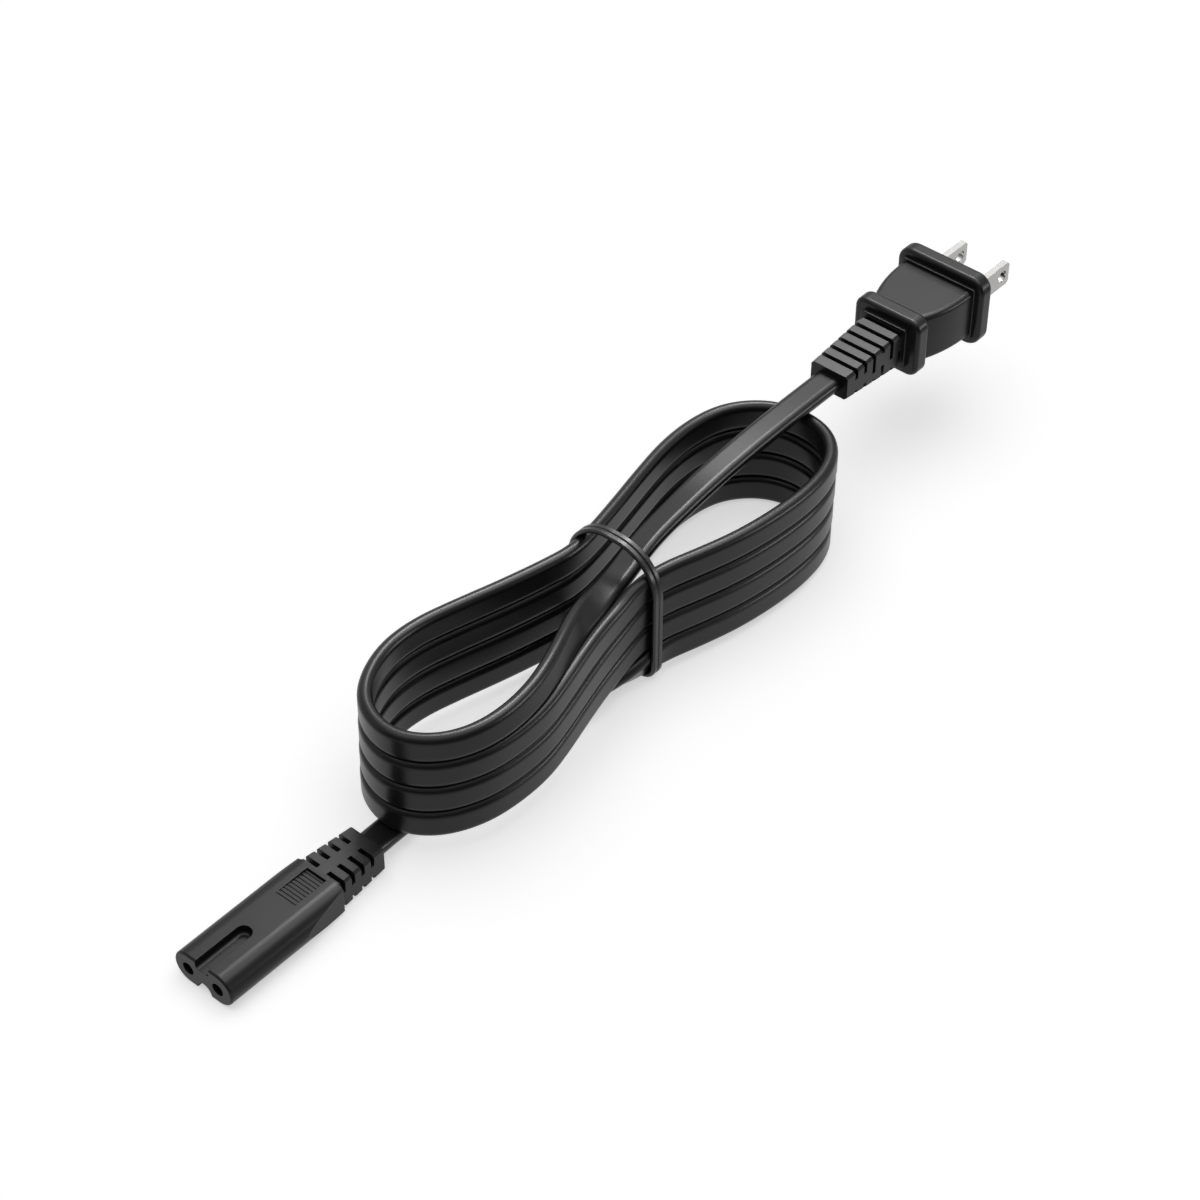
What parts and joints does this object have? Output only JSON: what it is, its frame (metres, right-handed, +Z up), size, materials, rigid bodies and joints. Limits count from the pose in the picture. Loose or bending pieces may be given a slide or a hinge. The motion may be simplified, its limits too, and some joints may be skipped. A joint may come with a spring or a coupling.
{
  "type": "power cord",
  "caption": "Flat power cord wound into a hank and tied at its waist, with a moulded flat-blade plug at one end and a small appliance connector at the other.",
  "frame": {"origin": "on the floor, under the middle of the box round the cord as it lies", "axes": "+X from the connector to the plug, +Y to the far side of the hank, +Z up"},
  "size_m": [0.274, 0.038, 0.0407],
  "materials": {
    "moulded_pvc": "satin black moulding",
    "cord_jacket": "satin black jacket",
    "tie_plastic": "black, slightly glossy",
    "plated_blade": "bright plating",
    "inner_plastic": "natural",
    "contact_brass": "plain",
    "copper": "stranded copper"
  },
  "bodies": {
    "root": {"plug_body": "moulded_pvc", "plug_bridge": "inner_plastic", "plug_blade_line": "plated_blade", "plug_blade_neutral": "plated_blade", "plug_conductor_line": "copper", "plug_conductor_neutral": "copper", "cord_end_in_plug": "cord_jacket", "connector_body": "moulded_pvc", "connector_contact_carrier": "inner_plastic", "connector_contact_line": "contact_brass", "connector_contact_neutral": "contact_brass", "connector_conductor_line": "copper", "connector_conductor_neutral": "copper", "cord_end_in_connector": "cord_jacket", "cord_hank": "cord_jacket", "cord_plug_lead": "cord_jacket", "cord_connector_lead": "cord_jacket", "tie_band": "tie_plastic"}
  },
  "joints": []
}
